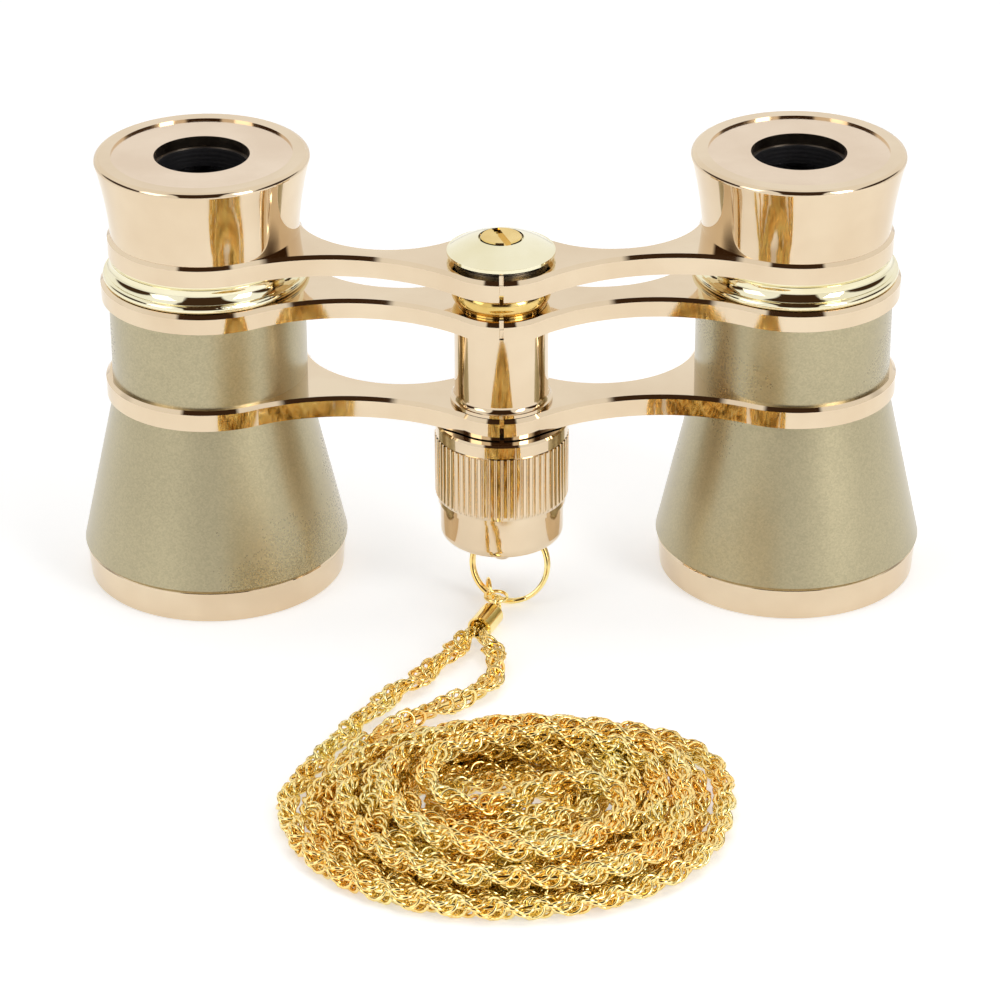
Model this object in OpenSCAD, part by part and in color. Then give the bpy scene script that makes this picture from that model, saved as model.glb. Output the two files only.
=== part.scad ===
// Folding opera glasses: two barrels on a three-deck hinge, focused by a knob below the hinge.
// The middle of the glasses is at the origin, the objective rings stand on z = 0 and -Y is the front.

/* [Overall] */
// Distance between the two optical axes when the glasses are opened flat
barrel_spacing = 75; // [62:0.5:92]
// How far the hinge axis lies in front of the optical axes
hinge_forward = 9.3; // [7:0.1:12]
// How far each half folds in from flat, in degrees
fold_angle = 30; // [20:1:32]

/* [Objective ends] */
// Height of the polished ring that the glasses stand on
foot_h = 4.5; // [3.8:0.1:6]
// Outer radius of that ring where it meets the housing
foot_r = 17; // [15:0.1:20.5]
// Radius of the clear opening in front of the objective
foot_bore_r = 13.2; // [11:0.1:14]
// Height of the tapered housing
housing_h = 21.2; // [16:0.1:26]
// Radius of the housing at its wide end
housing_r = 17.2; // [15.2:0.1:20.7]
// Radius of the housing at its narrow end
housing_top_r = 12.5; // [12:0.05:14]
// Radius of the objective glass
objective_r = 14; // [13.4:0.1:14.8]
// Thickness of the objective at its middle
objective_t = 4.6; // [3.8:0.1:5.6]

/* [Barrels] */
// Height of the lacquered barrel between its two bridges
barrel_h = 10.8; // [8:0.1:13]
// Outer radius of the barrel
barrel_r = 12.55; // [12:0.05:14]
// Outer radius of its threaded ends, which pass through the bridges
spigot_r = 11.6; // [11:0.05:11.8]
// Height of the brass guide ring on top of the barrel
guide_h = 3.4; // [3:0.1:4.1]
// Radius of the guide ring at its flange
guide_r = 13.15; // [12.6:0.05:13.4]

/* [Eyepieces] */
// Height of the eyecup
eyecup_h = 10.4; // [8:0.1:12.5]
// Radius of the eyecup at its rim
eyecup_r = 13.6; // [12.8:0.1:15]
// Radius of the eyecup where it meets its bridge
eyecup_foot_r = 12; // [11.4:0.05:12.2]
// Radius of the hollow of the waisted side
eyecup_sweep_r = 55; // [40:1:90]
// Radius of the satin plate let into the rim
eyeplate_r = 11.45; // [10.4:0.05:11.9]
// How deep that plate lies below the rim
eyeplate_drop = 0.6; // [0.4:0.05:1]
// Radius of the eyehole
eyehole_r = 6.05; // [5:0.05:6.6]
// Outer radius of the sliding eye tube
tube_r = 10.4; // [9.6:0.05:10.6]
// Wall of the eye tube
tube_wall = 0.7; // [0.5:0.05:1]
// Length of the eye tube
tube_l = 17; // [13:0.5:19]
// Radius of the eye lens
eye_lens_r = 7.2; // [6.9:0.1:8]

/* [Bridges] */
// Thickness of the lower bridge
lower_t = 2.7; // [2.2:0.1:3.3]
// Thickness of the middle bridge
middle_t = 2.5; // [2.1:0.1:3.1]
// Thickness of the upper bridge
upper_t = 2.7; // [2.2:0.1:3.3]
// Radii of the lower, middle and upper bridge round the barrel
lower_ring_r = 13.4; // [13:0.1:15]
middle_ring_r = 13.5; // [13.4:0.1:15]
upper_ring_r = 12.4; // [12.2:0.1:14]
// Radii of the lower, middle and upper bridge round the front of the hinge
lower_knuckle_r = 7; // [6.8:0.1:8.4]
middle_knuckle_r = 6.9; // [6.8:0.1:8.4]
upper_knuckle_r = 7.9; // [7:0.1:8.6]
// Radius of all three bridges behind the hinge
shoulder_r = 8.5; // [8:0.1:9.2]
// Radii of the hollows in the front edges, from lower to upper
lower_front_r = 25; // [20:0.5:32]
middle_front_r = 22; // [18:0.5:32]
upper_front_r = 24.5; // [20:0.5:32]
// Radii of the hollows in the back edges, from lower to upper
lower_back_r = 12.8; // [11.6:0.1:17]
middle_back_r = 13.4; // [11.6:0.1:17]
upper_back_r = 11.7; // [11.2:0.1:17]
// Bevel along the top edges of the bridges
bevel = 0.45; // [0.3:0.05:0.6]
// Width of the joint line between the left and right arms
seam_w = 0.55; // [0.3:0.05:0.8]
// Radius of the lapped discs by which the two arms turn on each other
lap_r = 5.7; // [5.2:0.05:5.9]

/* [Hinge column] */
// Radius of the column between the lower and middle bridges
column_r = 5.95; // [5.4:0.05:6.4]
// Radius of the band at its foot
column_foot_r = 6.5; // [6.2:0.05:6.7]
// Radius of its two necks, on which the arms turn
neck_r = 4.5; // [4.4:0.05:4.8]
// Radius of the brass collar above the middle bridge
collar_r = 6.3; // [5.9:0.05:6.6]
// Radius of the lift tube inside the column
lift_r = 3.2; // [2.8:0.05:3.3]
// Radius of the focusing screw
screw_r = 2; // [1.7:0.05:2.1]

/* [Cap] */
// Radius of the domed cap
cap_r = 6.8; // [6:0.05:7.4]
// Height of the domed cap
cap_h = 2.6; // [2.1:0.05:3.1]
// Radius of the slotted screw's head
cap_screw_r = 2.6; // [2.2:0.05:3]
// Width of the screw's slot
slot_w = 0.9; // [0.6:0.05:1.1]

/* [Focusing knob] */
// Height of the knob
knob_h = 16.55; // [13.95:0.05:19.75]
// Radius over the ribs
knob_r = 8.55; // [7.7:0.05:9.6]
// Height of the smooth band above the ribs
knob_top_h = 1.95; // [1.55:0.05:2.55]
// Height of the ribbed band
rib_band_h = 9.4; // [7.8:0.1:11]
// Number of ribs
rib_count = 64; // [48:2:76]
// Depth of the grooves between the ribs
rib_depth = 0.24; // [0.15:0.01:0.3]
// Radius of the smooth lower end
knob_end_r = 7.9; // [7.2:0.05:8.2]
// Depth of the hollow in the knob's lower end
knob_hollow = 2.8; // [2.6:0.1:3.2]
// Radius of the swivel eye's shank
eye_shank_r = 1.4; // [1.3:0.05:1.5]
// How far the swivel eye reaches below the knob
eye_drop = 3.5; // [2.6:0.1:4.1]

/* [Chain end] */
// Outer radius of the split ring
split_ring_r = 5.3; // [4.8:0.05:5.8]
// Wire of the split ring
split_wire = 0.65; // [0.5:0.05:0.7]
// Wire of the small links between split ring and end cap
link_wire = 0.45; // [0.35:0.05:0.45]
// Outer radius of the chain's end cap
end_cap_r = 1.6; // [1.5:0.05:1.8]
// Length of the end cap
end_cap_l = 4.4; // [3.8:0.1:5]
// Thickness of the rope chain
chain_d = 2.9; // [2.4:0.1:3.2]

/* [Hidden] */
$fn = 96;

// Fits: a running fit round shafts, a gap between faces that slide, and one between lapped discs
running = 0.05;
face_gap = 0.05;
lap_gap = 0.1;
// How far a curve runs past the one it meets, so that both cut cleanly
overrun = 0.03;

// Heights of the decks, from the ground up
z_housing = foot_h;
z_lower = z_housing + housing_h;
z_barrel = z_lower + lower_t;
z_middle = z_barrel + barrel_h;
z_guide = z_middle + middle_t;
z_upper = z_guide + guide_h;
z_eyecup = z_upper + upper_t;
z_rim = z_eyecup + eyecup_h;

// The left optical axis and the hinge axis in plan; the right half is the left one mirrored
axis_l = [-barrel_spacing / 2, 0];
hinge = [0, -hinge_forward];

// Bearing plate under the lower bridge, and the knob that hangs below it
bearing_t = 0.6;
bearing_flange_r = lower_knuckle_r - 0.6;
z_knob_seat = z_lower - bearing_t - 2 * face_gap;
knob_rim_gap = 0.15;
z_knob_top = z_lower - knob_rim_gap;
z_knob = z_knob_top - knob_h;

// Barrel, housing and optics
bore_r = tube_r + running;
spigot_l = 3.6;
spigot_top = guide_h - 1.2;
seat_z = foot_h + 0.9;
objective_edge_t = 2.2;
objective_bulge = objective_t - objective_edge_t;
objective_sphere_r = (pow(objective_r, 2) + pow(objective_bulge, 2)) / (2 * objective_bulge);
objective_z = seat_z - objective_sphere_r + sqrt(pow(objective_sphere_r, 2) - pow(foot_bore_r, 2)) + 0.02;
retainer_h = 1.6;
cell_r = objective_r + 0.35;
liner_wall = 0.45;
eye_lens_edge = 2.4;
eye_lens_z = z_rim - eyeplate_drop - 3.6 - eye_lens_edge;
plate_t = 1.2;
cup_bore_r = tube_r + running;
tube_in_cup = 3;
cup_room = 1;

// Column, lift tube and screw
screw_bearing_r = 3.8;
screw_bearing_l = 4;
screw_flange_r = lift_r - 0.2;
screw_flange_t = 0.8;
z_screw_flange = z_lower + screw_bearing_l + face_gap;
z_lift = z_screw_flange + screw_flange_t + 0.4;
lift_flange_r = 4.3;
lift_flange_t = 0.7;
collar_h = guide_h - 0.15;
neck_top = collar_h - lift_flange_t - 0.2;
washer_t = 0.45;
z_cap = z_eyecup + face_gap + washer_t;
cap_well_d = 1.1;
cap_well_gap = 0.25;
cap_socket_d = 0.92;
z_screw_top = z_upper - 2;
key_r = 0.5;
key_h = 3;

// Knob and swivel eye
eye_z = z_knob + 0.95;
eye_slot_w = 1.9;
eye_slot_h = 2.8;
eye_head_r = screw_r - 0.1;
eye_head_h = 0.8;
z_eye_head = z_knob + knob_hollow + 0.9;
z_screw_foot = z_eye_head + eye_head_h + 0.3;
eye_turn = -15;

// The split ring hangs in the eye and leans until it meets the ground
ring_mid_r = split_ring_r - split_wire / 2;
ring_lean = 16;
ring_shift = 1.4;
ring_drop = sqrt(pow(ring_mid_r, 2) - pow(ring_shift, 2));

// Two small links, one upright round the split ring's wire and one flat between it and the cap's eye
ring_link_mid_r = 1.5;
ring_link_at = [-1.7, -11.58, ring_link_mid_r + link_wire / 2 + 0.03];
ring_link_turn = 8;
cap_link_mid_r = 1.4;
cap_link_at = [-0.8, -13.56, 1.9];

// The chain's end cap lies on the ground and points away from the split ring
cap_start = [-1.3, -17.5, end_cap_r];
cap_dir = [-0.38, -0.925, 0];
cap_turn = atan2(cap_dir[1], cap_dir[0]);
cap_neck_l = 1.7;
cap_neck_r = 0.6;
cap_eye_mid_r = 1;
cap_eye_z = cap_neck_l + cap_eye_mid_r - 0.1;
cap_eye_side = -0.4;

// The two free strands of the chain, from the end cap to the heap
mouth_d = 2;
mouth_r = end_cap_r - 0.25;
strand_start_r = mouth_r / 2 - 0.08;
strand_part = (strand_start_r + 0.04) * [cap_dir[1], -cap_dir[0], 0] / norm(cap_dir);
strand_start = cap_start + cap_dir * (end_cap_l - mouth_d) / norm(cap_dir);
strand_mouth = strand_start + cap_dir * (mouth_d + 0.4) / norm(cap_dir);
left_route = [
    strand_start + strand_part, strand_mouth + strand_part, [-4.6, -24.2, 1.7], [-6.1, -26.6, 1.6],
    [-9.6, -32.4, 1.5], [-13.7, -37.8, 1.5], [-17.2, -43.4, 1.5], [-20.1, -49, 1.5], [-22.6, -54.3, 1.5]
];
right_route = [
    strand_start - strand_part, strand_mouth - strand_part, [-2.2, -24.6, 1.7], [-1.2, -27, 1.6],
    [-0.8, -30, 1.5], [-1.2, -33.7, 1.5], [-3.1, -36.9, 1.5], [-6.1, -39.7, 1.5], [-10.6, -43.2, 1.6],
    [-15.2, -47.6, 1.6]
];
// Radius of a strand at each point of its route: it swells out of the cap's mouth
strand_swell = [0, 0, 0.62, 1];

// The heap that the rest of the chain lies in
heap_middle = [0.4, -64];
heap_half_w = 26.6;
heap_half_d = 23;
heap_h = 8.2;
heap_edge = 1.5;

// ---------- plan geometry ----------

// The point at distance ra from a and rb from b, on the side of the line a-b that side gives
function meet(a, b, ra, rb, side) =
    let (d = norm(b - a), u = (b - a) / d, s = (ra * ra - rb * rb + d * d) / (2 * d))
    a + u * s + [-u[1], u[0]] * side * sqrt(ra * ra - s * s);

function direction(from, to) = atan2(to[1] - from[1], to[0] - from[0]);

function polar(centre, r, angle) = centre + r * [cos(angle), sin(angle)];

// The right half is the left half mirrored
module half(side) {
    if (side == "left") children();
    else mirror([1, 0, 0]) children();
}

module on_axis(z) {
    translate([axis_l[0], axis_l[1], z]) children();
}

module on_hinge(z) {
    translate([hinge[0], hinge[1], z]) children();
}

// A wedge round the hinge between two angles
module wedge(from, to, h) {
    reach = 3 * shoulder_r;
    linear_extrude(h) polygon([hinge, polar(hinge, reach, from), polar(hinge, reach, to)]);
}

// ---------- bridges ----------

// One layer of an arm, from z upwards, whose outline draws in from inset_low to inset_high
module arm_layer(z, h, inset_low, inset_high, ring_r, knuckle_r, front_r, back_r) {
    front = meet(hinge, axis_l, knuckle_r + front_r, ring_r + front_r, 1);
    back = meet(hinge, axis_l, shoulder_r + back_r, ring_r + back_r, -1);
    toward_back = direction(hinge, back);
    on_axis(z) cylinder(h = h, r1 = ring_r - inset_low, r2 = ring_r - inset_high);
    on_hinge(z) cylinder(h = h, r1 = knuckle_r - inset_low, r2 = knuckle_r - inset_high);
    intersection() {
        on_hinge(z) cylinder(h = h, r1 = shoulder_r - inset_low, r2 = shoulder_r - inset_high);
        translate([0, 0, z]) wedge(toward_back + 8, 90 + fold_angle, h);
    }
    difference() {
        translate([0, 0, z]) linear_extrude(h) polygon([axis_l, front, hinge, back]);
        translate([front[0], front[1], z])
            cylinder(h = h, r1 = front_r + inset_low + overrun, r2 = front_r + inset_high + overrun);
        translate([back[0], back[1], z])
            cylinder(h = h, r1 = back_r + inset_low + overrun, r2 = back_r + inset_high + overrun);
    }
}

// The side of the hinge that the other arm has, with room behind for the fold
module other_side(z, h) {
    seam = -seam_w / 2;
    corner = polar(hinge, 3 * shoulder_r, 90 + fold_angle + 3);
    far = 3 * shoulder_r;
    translate([0, 0, z]) linear_extrude(h)
        polygon([[seam, hinge[1] - far], [seam, hinge[1]], corner, [far, corner[1]], [far, hinge[1] - far]]);
}

// An arm of one bridge: barrel ring, waisted arm, and half of a lapped hinge.
// The left arm's disc is the upper one and the right arm's the lower one.
module arm(side, z, t, ring_r, hole_r, knuckle_r, front_r, back_r, pin_r) {
    middle = z + t / 2;
    upper = side == "left";
    own_z = upper ? middle + face_gap / 2 : z;
    other_z = upper ? z : middle - face_gap / 2;
    half_t = (t - face_gap) / 2;
    half(side) difference() {
        union() {
            difference() {
                union() {
                    arm_layer(z, t - bevel, 0, 0, ring_r, knuckle_r, front_r, back_r);
                    arm_layer(z + t - bevel, bevel, 0, bevel, ring_r, knuckle_r, front_r, back_r);
                }
                other_side(z - 1, t + 2);
            }
            on_hinge(own_z) cylinder(h = half_t, r = lap_r);
        }
        on_hinge(upper ? z - 1 : other_z) cylinder(h = half_t + face_gap + 1, r = lap_r + lap_gap);
        on_hinge(z - 1) cylinder(h = t + 2, r = pin_r + running);
        on_axis(z - 1) cylinder(h = t + 2, r = hole_r);
    }
}

module lower_arm(side) {
    color("#e3b58c")
        arm(side, z_lower, lower_t, lower_ring_r, spigot_r, lower_knuckle_r, lower_front_r,
            lower_back_r, neck_r);
}

module middle_arm(side) {
    color("#e3b58c")
        arm(side, z_middle, middle_t, middle_ring_r, spigot_r, middle_knuckle_r, middle_front_r,
            middle_back_r, neck_r);
}

module upper_arm(side) {
    color("#e3b58c")
        arm(side, z_upper, upper_t, upper_ring_r, tube_r, upper_knuckle_r, upper_front_r,
            upper_back_r, lift_r);
}

module left_lower_arm() { lower_arm("left"); }
module right_lower_arm() { lower_arm("right"); }
module left_middle_arm() { middle_arm("left"); }
module right_middle_arm() { middle_arm("right"); }
module left_upper_arm() { upper_arm("left"); }
module right_upper_arm() { upper_arm("right"); }

// ---------- barrels and objectives ----------

// Lacquered barrel with a threaded spigot at each end, through the middle and lower bridges
module barrel(side) {
    color("#b8ae8c") half(side) on_axis(0) difference() {
        union() {
            translate([0, 0, z_barrel]) cylinder(h = barrel_h, r = barrel_r);
            translate([0, 0, z_lower - spigot_l])
                cylinder(h = spigot_l + lower_t + barrel_h + middle_t + spigot_top, r = spigot_r);
        }
        translate([0, 0, z_lower - spigot_l - 1]) cylinder(h = z_upper - z_lower + spigot_l, r = bore_r);
    }
}

// Turned brass ring that screws on the barrel and guides the eye tube: full bead, deep cove and lip
module guide_ring(side) {
    bead_r = 0.55;
    shoulder_in = 0.5;
    lip_in = 0.85;
    cove_r = 1.45;
    cove_z = guide_h - 1.05;
    cove_out = 0.3;
    color("#dccf8f") half(side) on_axis(z_guide) rotate_extrude() difference() {
        union() {
            translate([bore_r, 0]) square([guide_r - bead_r - bore_r, 2 * bead_r]);
            translate([guide_r - bead_r, bead_r]) circle(r = bead_r);
            translate([bore_r, 0]) square([guide_r - shoulder_in - bore_r, cove_z]);
            translate([bore_r, 0]) square([guide_r - lip_in - bore_r, guide_h]);
        }
        translate([0, -0.01]) square([spigot_r, spigot_top + 0.01]);
        translate([guide_r + cove_out, cove_z]) circle(r = cove_r);
    }
}

// Tapered objective housing, screwed to the barrel's lower spigot and to the foot ring
module housing(side) {
    cell_top = objective_z + objective_t + retainer_h;
    color("#b8ae8c") half(side) on_axis(0) rotate_extrude() difference() {
        polygon([[0, z_housing], [housing_r, z_housing + 0.25], [housing_top_r, z_lower], [0, z_lower]]);
        polygon([
            [0, z_housing - 1], [cell_r, z_housing - 1], [cell_r, cell_top], [cell_r - 0.4, cell_top],
            [spigot_r - 0.7, z_lower - spigot_l], [spigot_r, z_lower - spigot_l],
            [spigot_r, z_lower + 1], [0, z_lower + 1]
        ]);
    }
}

// Polished ring that closes the housing, holds the objective and stands on the ground
module foot_ring(side) {
    edge = 0.45;
    top_edge = 0.26;
    draft = 0.28;
    color("#e3b58c") half(side) on_axis(0) rotate_extrude() difference() {
        union() {
            polygon([
                [0, 0], [foot_r - draft - edge, 0], [foot_r - draft, edge], [foot_r, foot_h - top_edge],
                [foot_r - top_edge, foot_h], [0, foot_h]
            ]);
            translate([foot_r - draft - edge, edge]) circle(r = edge);
            translate([0, foot_h - 0.5]) square([cell_r, seat_z - foot_h + 0.5]);
        }
        translate([0, -1]) square([foot_bore_r, 10]);
        polygon([[0, -0.01], [foot_bore_r + 0.8, -0.01], [foot_bore_r, 0.9], [0, 0.9]]);
    }
}

// Objective of the Galilean telescope: bulging in front, flat behind
module objective(side) {
    color("#a9c4cf", 0.5) half(side) on_axis(objective_z) intersection() {
        cylinder(h = objective_t, r = objective_r);
        translate([0, 0, objective_sphere_r]) sphere(r = objective_sphere_r);
    }
}

// Threaded black ring that holds the objective down on its seat
module objective_retainer(side) {
    color("#1c1c1e") half(side) on_axis(objective_z + objective_t) difference() {
        cylinder(h = retainer_h, r = cell_r);
        translate([0, 0, -1]) cylinder(h = retainer_h + 2, r = objective_r - 0.9);
    }
}

module left_barrel() { barrel("left"); }
module right_barrel() { barrel("right"); }
module left_guide_ring() { guide_ring("left"); }
module right_guide_ring() { guide_ring("right"); }
module left_housing() { housing("left"); }
module right_housing() { housing("right"); }
module left_foot_ring() { foot_ring("left"); }
module right_foot_ring() { foot_ring("right"); }
module left_objective() { objective("left"); }
module right_objective() { objective("right"); }
module left_objective_retainer() { objective_retainer("left"); }
module right_objective_retainer() { objective_retainer("right"); }

// ---------- eyepieces ----------

// Waisted eyecup with a rounded rim, hollow inside for the eye tube and the eye lens
module eyecup(side) {
    lip = 0.65;
    side_mid = [(eyecup_foot_r + eyecup_r) / 2, z_eyecup + (eyecup_h - lip) / 2];
    side_run = [eyecup_r - eyecup_foot_r, eyecup_h - lip];
    side_half = norm(side_run) / 2;
    outward = [side_run[1], -side_run[0]] / norm(side_run);
    sweep = side_mid + outward * sqrt(pow(eyecup_sweep_r, 2) - pow(side_half, 2));
    color("#e3b58c") half(side) on_axis(0) rotate_extrude() difference() {
        union() {
            polygon([
                [0, z_eyecup], [eyecup_foot_r, z_eyecup], [eyecup_r, z_rim - lip],
                [eyecup_r - lip, z_rim], [0, z_rim]
            ]);
            translate([eyecup_r - lip, z_rim - lip]) circle(r = lip, $fn = 48);
        }
        translate(sweep) circle(r = eyecup_sweep_r, $fn = 360);
        translate([0, z_rim - eyeplate_drop]) square([eyeplate_r, 2]);
        translate([0, z_rim - eyeplate_drop - plate_t]) square([eyeplate_r - 0.3, 2]);
        translate([0, z_eyecup - 1]) square([eye_lens_r + liner_wall, eyecup_h + 2]);
        translate([0, z_eyecup - 1]) square([cup_bore_r, 1 + tube_in_cup + cup_room]);
    }
}

// Satin plate let into the rim, with the eyehole
module eyeplate(side) {
    color("#e7bd96") half(side) on_axis(z_rim - eyeplate_drop - plate_t) rotate_extrude() difference() {
        union() {
            square([eyeplate_r - 0.3, plate_t]);
            translate([0, plate_t]) square([eyeplate_r, 0.35]);
        }
        translate([-1, -1]) square([eyehole_r + 1, 4]);
    }
}

// Sliding tube, fixed in the upper bridge and guided by the barrel
module eye_tube(side) {
    color("#dccf8f") half(side) on_axis(z_eyecup + tube_in_cup - tube_l) difference() {
        cylinder(h = tube_l, r = tube_r);
        translate([0, 0, -1]) cylinder(h = tube_l + 2, r = tube_r - tube_wall);
    }
}

// Diverging eye lens, hollow on both faces
module eye_lens(side) {
    hollow_r = 22;
    dip = 0.75;
    color("#a9c4cf", 0.5) half(side) on_axis(eye_lens_z) difference() {
        cylinder(h = eye_lens_edge, r = eye_lens_r);
        translate([0, 0, eye_lens_edge - dip + hollow_r]) sphere(r = hollow_r);
        translate([0, 0, dip - hollow_r]) sphere(r = hollow_r);
    }
}

// Blackened tube that holds the eye lens and lines the eyehole
module eye_liner(side) {
    inner = eyehole_r - 0.25;
    color("#161618") half(side) on_axis(0) rotate_extrude() difference() {
        translate([0, z_eyecup + 1])
            square([eye_lens_r + liner_wall, z_rim - eyeplate_drop - plate_t - z_eyecup - 1]);
        translate([-1, z_eyecup]) square([inner + 1, eyecup_h]);
        translate([-1, eye_lens_z]) square([eye_lens_r + 1, eye_lens_edge]);
    }
}

module left_eyecup() { eyecup("left"); }
module right_eyecup() { eyecup("right"); }
module left_eyeplate() { eyeplate("left"); }
module right_eyeplate() { eyeplate("right"); }
module left_eye_tube() { eye_tube("left"); }
module right_eye_tube() { eye_tube("right"); }
module left_eye_lens() { eye_lens("left"); }
module right_eye_lens() { eye_lens("right"); }
module left_eye_liner() { eye_liner("left"); }
module right_eye_liner() { eye_liner("right"); }

// ---------- hinge column and focusing ----------

// Column between the lower and middle bridges, with a neck at each end on which the arms turn
module hinge_column() {
    low = z_barrel + face_gap;
    high = z_middle - face_gap;
    foot_band = 0.35;
    fillet_r = 0.9;
    color("#e3b58c") on_hinge(0) difference() {
        union() {
            translate([0, 0, low]) cylinder(h = high - low, r = column_r);
            translate([0, 0, low]) rotate_extrude() difference() {
                square([column_foot_r, foot_band + fillet_r]);
                translate([column_r + fillet_r, foot_band + fillet_r]) circle(r = fillet_r);
            }
            translate([0, 0, z_lower]) cylinder(h = z_guide + neck_top - z_lower, r = neck_r);
        }
        translate([0, 0, z_lower - 1]) cylinder(h = z_upper - z_lower + 2, r = lift_r + running);
        translate([0, 0, z_lower - 1]) cylinder(h = screw_bearing_l + 1, r = screw_bearing_r);
        key_pin();
    }
}

// Brass collar that screws on the column and holds the middle bridge down
module hinge_collar() {
    round_r = collar_h / 2;
    color("#c9a445") on_hinge(z_guide + face_gap) rotate_extrude() difference() {
        union() {
            square([collar_r - round_r / 2, collar_h]);
            intersection() {
                translate([collar_r - round_r, round_r]) circle(r = round_r);
                square([collar_r, collar_h]);
            }
        }
        translate([-1, -1]) square([neck_r + 1, collar_h + 2]);
        translate([-1, neck_top - 2 * face_gap]) square([lift_flange_r + 0.2 + 1, collar_h]);
    }
}

// Bearing screwed into the foot of the column: it carries the focusing screw and the lower bridge
module screw_bearing() {
    color("#3a3836") on_hinge(0) difference() {
        union() {
            translate([0, 0, z_lower - face_gap - bearing_t])
                cylinder(h = bearing_t, r = bearing_flange_r);
            translate([0, 0, z_lower - face_gap - bearing_t])
                cylinder(h = screw_bearing_l + bearing_t + face_gap, r = screw_bearing_r);
        }
        translate([0, 0, z_lower - bearing_t - 1])
            cylinder(h = screw_bearing_l + bearing_t + 2, r = screw_r + running);
    }
}

module key_pin() {
    translate([0, lift_r, z_middle - key_h - 1]) cylinder(h = key_h, r = key_r);
}

// Small key between column and lift tube, which keeps the tube from turning with the screw
module lift_key() {
    color("#8a8a8a") on_hinge(0) key_pin();
}

// Focusing screw: knob end, flange held above the bearing, and threaded length inside the lift tube
module focus_screw() {
    color("#b9b4a8") on_hinge(0) {
        translate([0, 0, z_screw_foot]) cylinder(h = z_screw_top - z_screw_foot, r = screw_r);
        translate([0, 0, z_screw_flange]) cylinder(h = screw_flange_t, r = screw_flange_r);
    }
}

// Tube that the screw lifts: it carries the upper bridge on its flange and the cap on its end
module lift_tube() {
    top = z_cap + cap_socket_d - 0.02;
    color("#dccf8f") on_hinge(0) difference() {
        union() {
            translate([0, 0, z_lift]) cylinder(h = top - z_lift, r = lift_r);
            translate([0, 0, z_upper - face_gap - lift_flange_t])
                cylinder(h = lift_flange_t, r = lift_flange_r);
        }
        translate([0, 0, z_lift - 1]) cylinder(h = z_screw_top + 1.4 - z_lift, r = screw_r + running);
        translate([0, 0, z_eyecup - 1]) cylinder(h = 4, r = cap_screw_r / 2);
        translate([0, lift_r, z_lift - 1]) cylinder(h = z_middle - z_lift, r = key_r + running);
    }
}

// Dished washer under the cap, which sets the friction of the fold
module friction_washer() {
    color("#2b2a29") on_hinge(z_eyecup + face_gap) difference() {
        cylinder(h = washer_t, r = cap_r - 0.9);
        translate([0, 0, -1]) cylinder(h = washer_t + 2, r = lift_r + running);
    }
}

// Domed cap with an upright polished rim and a well for the screw's head
module hinge_cap() {
    undercut = 0.2;
    rim_h = 0.4;
    step_in = 0.2;
    dome_z = undercut + rim_h;
    dome = cap_h - dome_z;
    dome_r = (pow(cap_r - step_in, 2) + pow(dome, 2)) / (2 * dome);
    color("#e0d6a2") on_hinge(z_cap) rotate_extrude() difference() {
        union() {
            intersection() {
                translate([0, cap_h - dome_r]) circle(r = dome_r, $fn = 240);
                translate([0, dome_z]) square([cap_r, cap_h]);
            }
            polygon([[0, 0], [cap_r - undercut, 0], [cap_r, undercut], [cap_r, dome_z], [0, dome_z]]);
        }
        translate([-1, cap_h - cap_well_d]) square([cap_screw_r + cap_well_gap + 1, 3]);
        translate([-1, -1]) square([lift_r + 1, 1 + cap_socket_d]);
        translate([-1, -1]) square([cap_screw_r / 2 + 1, 5]);
        translate([-20, -10]) square([20, 20]);
    }
}

// Slotted cheese-head screw in the cap's well
module cap_screw() {
    head_h = 0.95;
    edge = 0.16;
    slot_d = 0.6;
    slot_turn = 108;
    z_seat = z_cap + cap_h - cap_well_d;
    shank_end = z_eyecup - 0.6;
    color("#cdbb72") on_hinge(z_seat) difference() {
        union() {
            cylinder(h = head_h - edge, r = cap_screw_r);
            translate([0, 0, head_h - edge]) cylinder(h = edge, r1 = cap_screw_r, r2 = cap_screw_r - edge);
            translate([0, 0, shank_end - z_seat]) cylinder(h = z_seat - shank_end + 0.1, r = cap_screw_r / 2);
        }
        rotate([0, 0, slot_turn]) translate([-cap_screw_r - 1, -slot_w / 2, head_h - slot_d])
            cube([2 * cap_screw_r + 2, slot_w, 1]);
    }
}

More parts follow.
